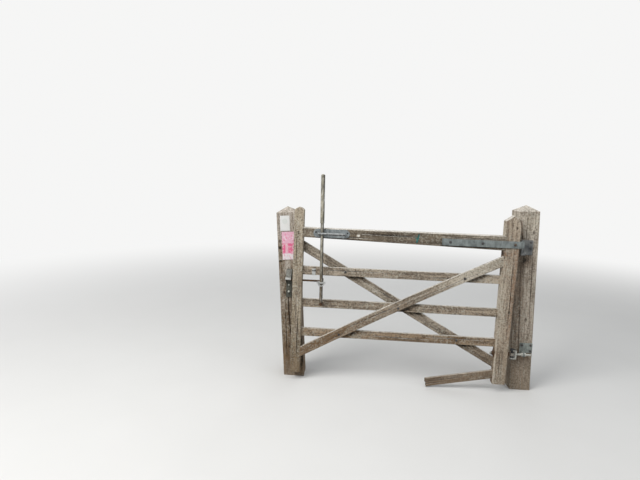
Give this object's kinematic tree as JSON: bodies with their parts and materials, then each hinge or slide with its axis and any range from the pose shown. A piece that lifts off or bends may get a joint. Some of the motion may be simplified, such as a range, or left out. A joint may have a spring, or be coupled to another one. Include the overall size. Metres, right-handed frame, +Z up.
{
  "type": "timber bridle gate with posts and a tall latch lever",
  "caption": "Weathered timber bridle gate on two square posts, with crossed braces, a broken lowest rail and a tall lever that draws its sprung latch rod.",
  "frame": {"origin": "centre of the hanging post's foot at ground level", "axes": "+Z up along the hinge axis, -X along the closed leaf towards the shutting post, -Y the side that the leaf opens to"},
  "size_m": [2.2312, 0.3299, 1.776],
  "materials": {
    "pale_post_timber": "bleached weathered timber with drying cracks",
    "grey_post_timber": "weathered grey timber with drying cracks",
    "weathered_timber": "weathered grey-brown timber",
    "dark_timber": "darker weathered timber",
    "galvanised_steel": "dull galvanised steel",
    "dull_steel": "dull bolt heads",
    "rusty_steel": "rusty steel",
    "white_notice_sheet": "blank white notice",
    "pink_notice_sheet": "faded pink notice"
  },
  "bodies": {
    "posts": {"hanging_post": "pale_post_timber", "shutting_post": "grey_post_timber", "white_notice": "white_notice_sheet", "pink_notice": "pink_notice_sheet", "latch_catch": "galvanised_steel", "top_hook": "galvanised_steel", "bottom_hook_plate": "galvanised_steel", "bottom_yoke": "galvanised_steel", "bottom_pin": "galvanised_steel", "post_bolts": "dull_steel"},
    "leaf": {"shutting_stile": "weathered_timber", "hanging_stile": "weathered_timber", "top_rail": "dark_timber", "second_rail": "weathered_timber", "third_rail": "weathered_timber", "bottom_rail": "weathered_timber", "broken_rail": "dark_timber", "front_brace": "weathered_timber", "rear_brace": "dark_timber", "top_band_front": "galvanised_steel", "top_band_back": "galvanised_steel", "band_bolts": "dull_steel", "bottom_eye_bolt": "galvanised_steel", "eye_bolt_nuts": "rusty_steel", "lever_guide": "galvanised_steel", "guide_screws": "dull_steel", "rail_cleat": "galvanised_steel", "lever_pivot_bolt": "dull_steel", "brace_bolts": "dull_steel"},
    "lever": {"latch_lever": "galvanised_steel", "lever_grip": "galvanised_steel", "lever_clamp": "galvanised_steel"},
    "bolt": {"latch_rod": "rusty_steel"}
  },
  "joints": [
    {"name": "leaf_swing", "type": "hinge", "parent": "posts", "child": "leaf", "pos_m": [-0.11, -0.145, 0.335], "axis": [0, 0, 1], "range_deg": [0, 90]},
    {"name": "lever_swing", "type": "hinge", "parent": "leaf", "child": "lever", "pos_m": [-1.729, -0.20595, 0.697], "axis": [0, 1, 0], "range_deg": [0, 15], "stiffness_Nm_per_rad": 12, "springref_deg": -20.05},
    {"name": "rod_slide", "type": "slide", "parent": "leaf", "child": "bolt", "axis": [1, 0, 0], "range_m": [0, 0.047]}
  ],
  "couplings": [
    {"joint": "rod_slide", "follows": "lever_swing", "m_per_rad": 0.17935}
  ]
}
